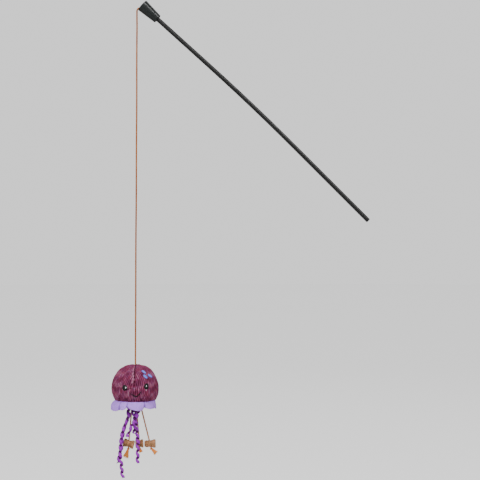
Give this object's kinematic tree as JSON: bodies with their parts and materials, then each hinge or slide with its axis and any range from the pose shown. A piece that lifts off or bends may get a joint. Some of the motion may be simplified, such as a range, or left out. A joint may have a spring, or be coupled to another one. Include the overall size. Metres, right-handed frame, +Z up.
{
  "type": "cat teaser wand",
  "caption": "Bowed black rod with a hollow end cap, a long thin cord and a stuffed toy with a felt skirt, curled ribbons and wood sticks.",
  "frame": {"origin": "middle of the rod's straight grip, on its axis, where the hand or a clip holds it", "axes": "+Z up, the way the cord hangs down from; +X from the hanging toy towards the grip's free end; +Y away from the viewer of the toy's face"},
  "size_m": [0.4142, 0.0747, 0.7648],
  "materials": {
    "rod": "satin near-black moulded plastic",
    "cap": "satin black plastic",
    "cord": "twisted tan cord",
    "corduroy": "mauve ribbed plush",
    "fill": "loose polyester fill",
    "felt": "lilac felt",
    "black_thread": "black embroidery thread",
    "white_thread": "white embroidery thread",
    "blue_thread": "light blue embroidery thread",
    "pink_thread": "light pink sewing thread",
    "ribbon": "violet curled satin ribbon",
    "wood": "raw bark stick",
    "frayed_cord": "frayed orange cord"
  },
  "bodies": {
    "wand": {"rod": "rod", "end_cap": "cap", "anchor_knot": "cord", "cord_lead": "cord"},
    "cord_top": {"cord_bend": "cord"},
    "cord": {"hang_cord": "cord"},
    "cord_end": {"cord_tail": "cord", "toy_knot": "cord"},
    "toy": {"head_cover": "corduroy", "head_stuffing": "fill", "base_panel": "corduroy", "felt_skirt": "felt", "eye_left": "black_thread", "eye_right": "black_thread", "eye_light_left": "white_thread", "eye_light_right": "white_thread", "mouth_thread": "black_thread", "spot_upper": "blue_thread", "spot_side": "blue_thread", "spot_lower": "blue_thread", "dart_stitches": "pink_thread"},
    "ribbon_far_left": {"ribbon_far_left": "ribbon"},
    "ribbon_left": {"ribbon_left": "ribbon"},
    "ribbon_front": {"ribbon_front": "ribbon"},
    "ribbon_short": {"ribbon_short": "ribbon"},
    "ribbon_right": {"ribbon_right": "ribbon"},
    "stick_left": {"stick_cord_left": "cord", "stick_left": "wood", "stick_knot_left": "frayed_cord", "tassel_left": "frayed_cord"},
    "stick_middle": {"stick_cord_middle": "cord", "stick_middle": "wood", "stick_knot_middle": "frayed_cord", "tassel_middle": "frayed_cord"},
    "stick_right": {"stick_cord_right": "cord", "stick_right": "wood", "stick_knot_right": "frayed_cord", "tassel_right": "frayed_cord"}
  },
  "joints": [
    {"name": "cord_swing", "type": "hinge", "parent": "wand", "child": "cord_top", "pos_m": [-0.31205, 0, 0.27173], "axis": [0, 1, 0], "range_deg": [-35, 75]},
    {"name": "cord_sway", "type": "hinge", "parent": "cord_top", "child": "cord", "pos_m": [-0.31205, 0, 0.26373], "axis": [1, 0, 0], "range_deg": [-60, 60]},
    {"name": "toy_tilt", "type": "hinge", "parent": "cord", "child": "cord_end", "pos_m": [-0.31445, 0, -0.28447], "axis": [0, 1, 0], "range_deg": [-60, 60]},
    {"name": "toy_spin", "type": "hinge", "parent": "cord_end", "child": "toy", "pos_m": [-0.31445, 0, -0.28747], "axis": [0, 0, 1], "continuous": true},
    {"name": "ribbon_far_left_sway", "type": "hinge", "parent": "toy", "child": "ribbon_far_left", "pos_m": [-0.32254, 0.00337, -0.34447], "axis": [0, 1, 0], "range_deg": [-25, 25]},
    {"name": "ribbon_left_sway", "type": "hinge", "parent": "toy", "child": "ribbon_left", "pos_m": [-0.32188, -0.01733, -0.34447], "axis": [0, 1, 0], "range_deg": [-25, 25]},
    {"name": "ribbon_front_sway", "type": "hinge", "parent": "toy", "child": "ribbon_front", "pos_m": [-0.30397, -0.02423, -0.34447], "axis": [0, 1, 0], "range_deg": [-25, 25]},
    {"name": "ribbon_short_sway", "type": "hinge", "parent": "toy", "child": "ribbon_short", "pos_m": [-0.31056, -0.00352, -0.34447], "axis": [0, 1, 0], "range_deg": [-25, 25]},
    {"name": "ribbon_right_sway", "type": "hinge", "parent": "toy", "child": "ribbon_right", "pos_m": [-0.31739, -0.01043, -0.34447], "axis": [0, 1, 0], "range_deg": [-25, 25]},
    {"name": "stick_left_swing", "type": "hinge", "parent": "toy", "child": "stick_left", "pos_m": [-0.32021, 0.01498, -0.34447], "axis": [1, 0, 0], "range_deg": [0, 40]},
    {"name": "stick_middle_swing", "type": "hinge", "parent": "toy", "child": "stick_middle", "pos_m": [-0.31517, 0.01498, -0.34447], "axis": [1, 0, 0], "range_deg": [0, 40]},
    {"name": "stick_right_swing", "type": "hinge", "parent": "toy", "child": "stick_right", "pos_m": [-0.31013, 0.01498, -0.34447], "axis": [1, 0, 0], "range_deg": [0, 40]}
  ]
}
